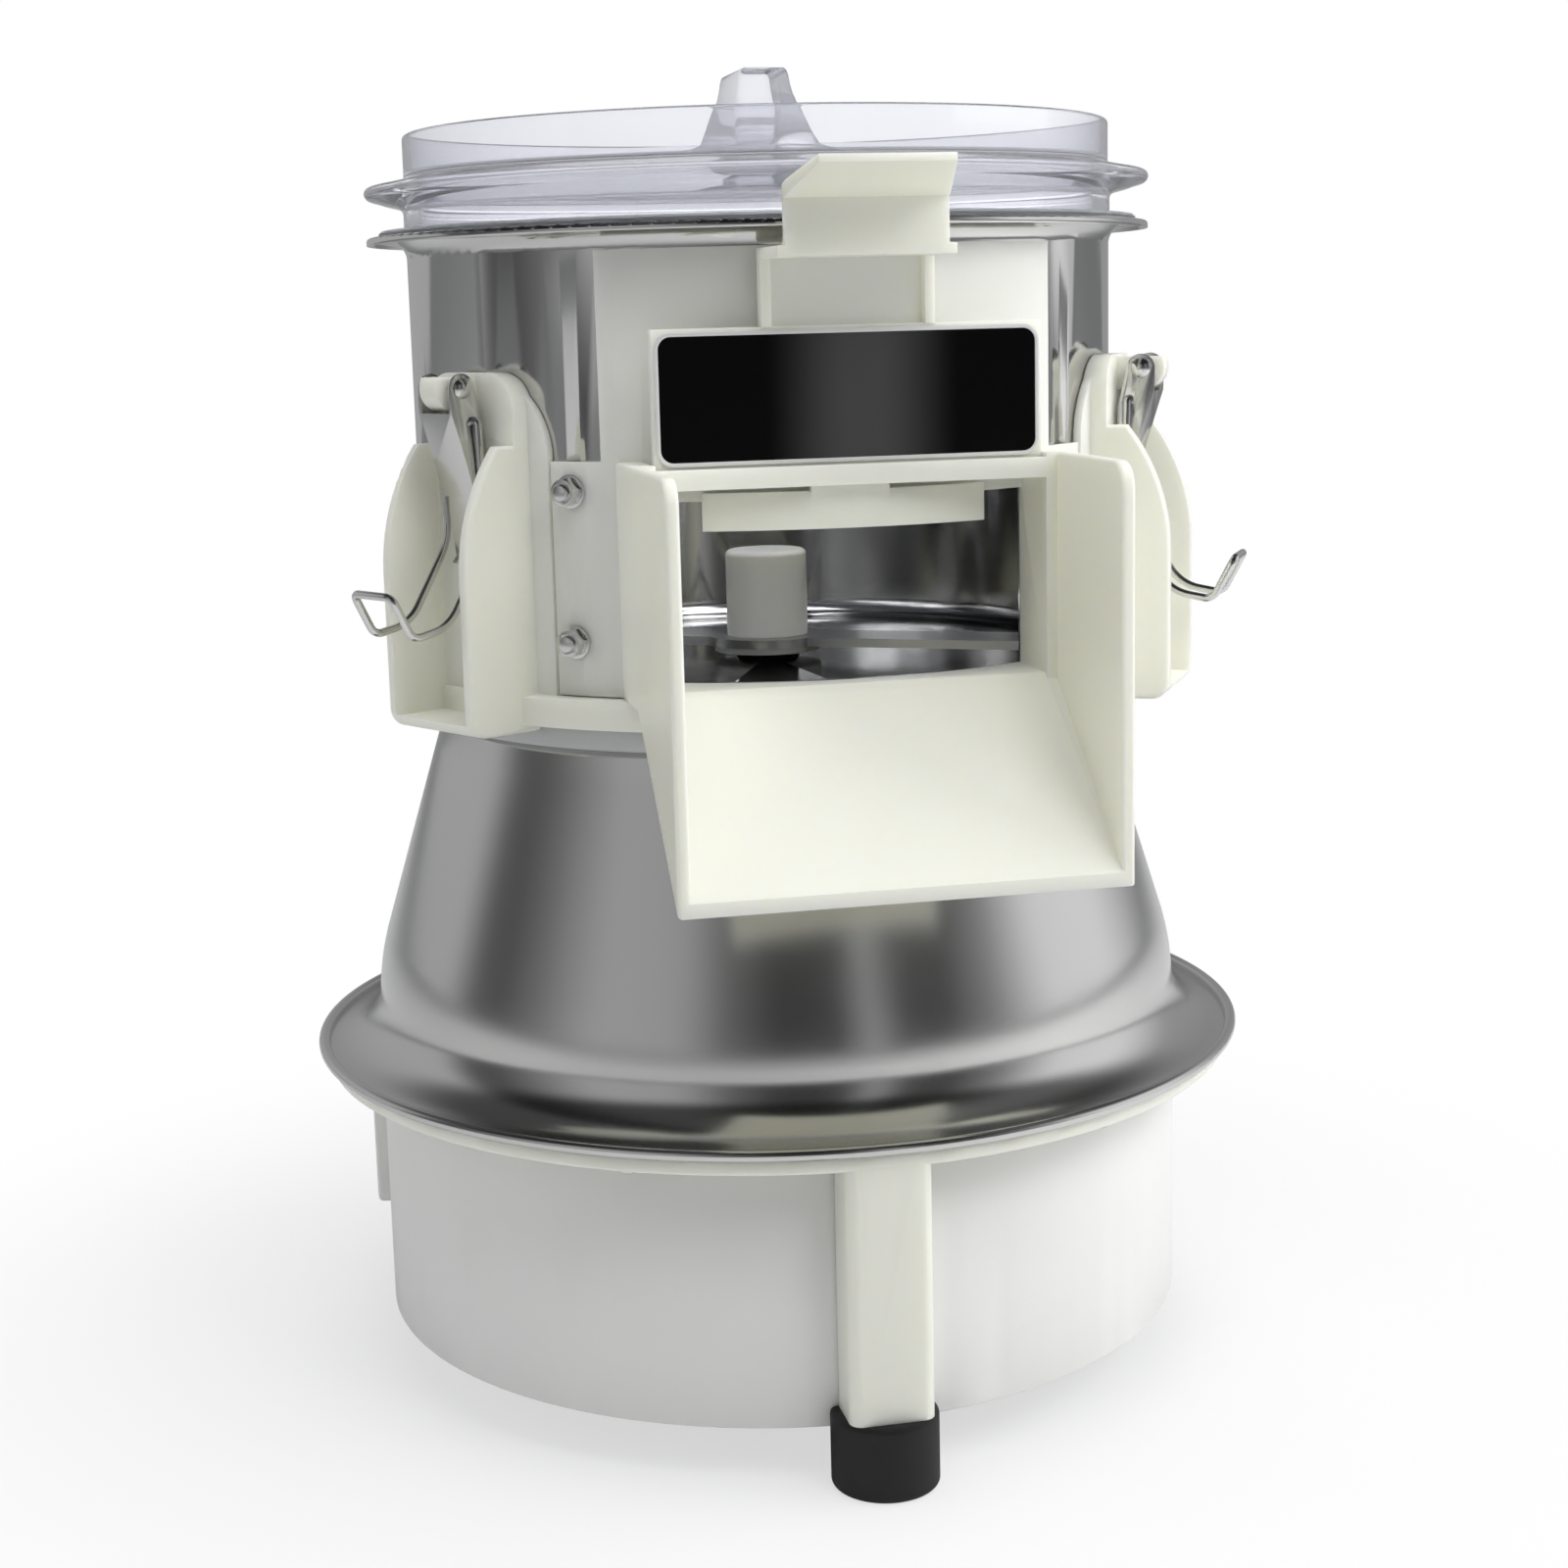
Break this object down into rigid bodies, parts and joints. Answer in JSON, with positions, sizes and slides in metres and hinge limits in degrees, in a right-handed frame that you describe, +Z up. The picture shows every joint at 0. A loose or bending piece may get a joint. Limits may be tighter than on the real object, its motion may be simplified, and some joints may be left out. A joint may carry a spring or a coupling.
{
  "type": "chicken shredder",
  "caption": "Bench-top shredder: clear-lidded steel pot with a spinning blade, sliding discharge gate and sloping chute, on a bowl-shaped motor housing with legs.",
  "frame": {"origin": "on the machine's vertical axis, at floor level", "axes": "+Z up along the rotor axis, -Y out of the discharge chute, +X to the right seen from the chute"},
  "size_m": [0.324, 0.3507, 0.439],
  "materials": {
    "cream_plastic": "moulded, semi-gloss",
    "white_plastic": "moulded, semi-gloss",
    "grey_plastic": "moulded, satin",
    "clear_plastic": "clear moulding with a faint cool tint",
    "black_plastic": "satin",
    "black_plate": "smooth, blank",
    "black_rubber": "matte",
    "clear_rubber": "translucent soft ring",
    "polished_steel": "polished stainless sheet",
    "blade_steel": "ground stainless strip",
    "zinc_steel": "bright plated steel",
    "motor_paint": "satin",
    "bearing_steel": "machined"
  },
  "bodies": {
    "machine": {"base_frame": "cream_plastic", "foot_front": "black_rubber", "foot_right": "black_rubber", "foot_left": "black_rubber", "skirt_drum": "white_plastic", "bottom_cover": "grey_plastic", "flange_screws": "zinc_steel", "dome": "polished_steel", "motor_plate": "bearing_steel", "motor": "motor_paint", "motor_bolts": "zinc_steel", "capacitor": "black_plastic", "shaft_bearing": "bearing_steel", "shaft_seal": "black_rubber", "pot": "polished_steel", "neck_ring": "grey_plastic", "clamp_ring": "cream_plastic", "outlet_housing": "cream_plastic", "outlet_bolts": "zinc_steel", "outlet_washers": "zinc_steel", "outlet_nuts": "zinc_steel", "switch_pod": "white_plastic", "cable_inlet": "grey_plastic", "latch_pin_left": "zinc_steel", "latch_pin_right": "zinc_steel", "latch_pin_rear": "zinc_steel"},
    "gate": {"discharge_gate": "cream_plastic", "badge_frame": "zinc_steel", "badge_face": "black_plate"},
    "lid": {"lid": "clear_plastic", "lid_gasket": "clear_rubber"},
    "rotor": {"shaft_coupling": "bearing_steel", "drive_shaft": "bearing_steel", "rotor_hub": "cream_plastic", "rotor_blade": "blade_steel"},
    "rocker": {"switch_rocker": "black_plastic"},
    "lever_left": {"latch_lever_left": "zinc_steel"},
    "bail_left": {"latch_bail_left": "zinc_steel"},
    "lever_right": {"latch_lever_right": "zinc_steel"},
    "bail_right": {"latch_bail_right": "zinc_steel"},
    "lever_rear": {"latch_lever_rear": "zinc_steel"},
    "bail_rear": {"latch_bail_rear": "zinc_steel"}
  },
  "joints": [
    {"name": "lid_lift", "type": "slide", "parent": "machine", "child": "lid", "axis": [0, 0, 1], "range_m": [0, 0.1]},
    {"name": "gate_slide", "type": "slide", "parent": "machine", "child": "gate", "axis": [0, 0, 1], "range_m": [-0.046, 0]},
    {"name": "rotor_spin", "type": "hinge", "parent": "machine", "child": "rotor", "pos_m": [0, 0, 0.25], "axis": [0, 0, 1], "continuous": true},
    {"name": "switch_rock", "type": "hinge", "parent": "machine", "child": "rocker", "pos_m": [-0.13389, 0.02603, 0.072], "axis": [0.1908, 0.9816, 0], "range_deg": [0, 20]},
    {"name": "lever_turn_left", "type": "hinge", "parent": "machine", "child": "lever_left", "pos_m": [-0.11357, -0.06824, 0.3385], "axis": [-0.515, 0.8572, 0], "range_deg": [0, 150]},
    {"name": "bail_swing_left", "type": "hinge", "parent": "lever_left", "child": "bail_left", "pos_m": [-0.11015, -0.06618, 0.3285], "axis": [-0.515, 0.8572, 0], "range_deg": [-150, 0]},
    {"name": "lever_turn_right", "type": "hinge", "parent": "machine", "child": "lever_right", "pos_m": [0.11357, -0.06824, 0.3385], "axis": [-0.515, -0.8572, 0], "range_deg": [0, 150]},
    {"name": "bail_swing_right", "type": "hinge", "parent": "lever_right", "child": "bail_right", "pos_m": [0.11015, -0.06618, 0.3285], "axis": [-0.515, -0.8572, 0], "range_deg": [-150, 0]},
    {"name": "lever_turn_rear", "type": "hinge", "parent": "machine", "child": "lever_rear", "pos_m": [0, 0.1325, 0.3385], "axis": [1, 0, 0], "range_deg": [0, 150]},
    {"name": "bail_swing_rear", "type": "hinge", "parent": "lever_rear", "child": "bail_rear", "pos_m": [0, 0.1285, 0.3285], "axis": [1, 0, 0], "range_deg": [-150, 0]}
  ],
  "couplings": [
    {"joint": "bail_swing_left", "follows": "lever_turn_left", "ratio": -1},
    {"joint": "bail_swing_right", "follows": "lever_turn_right", "ratio": -1},
    {"joint": "bail_swing_rear", "follows": "lever_turn_rear", "ratio": -1}
  ]
}
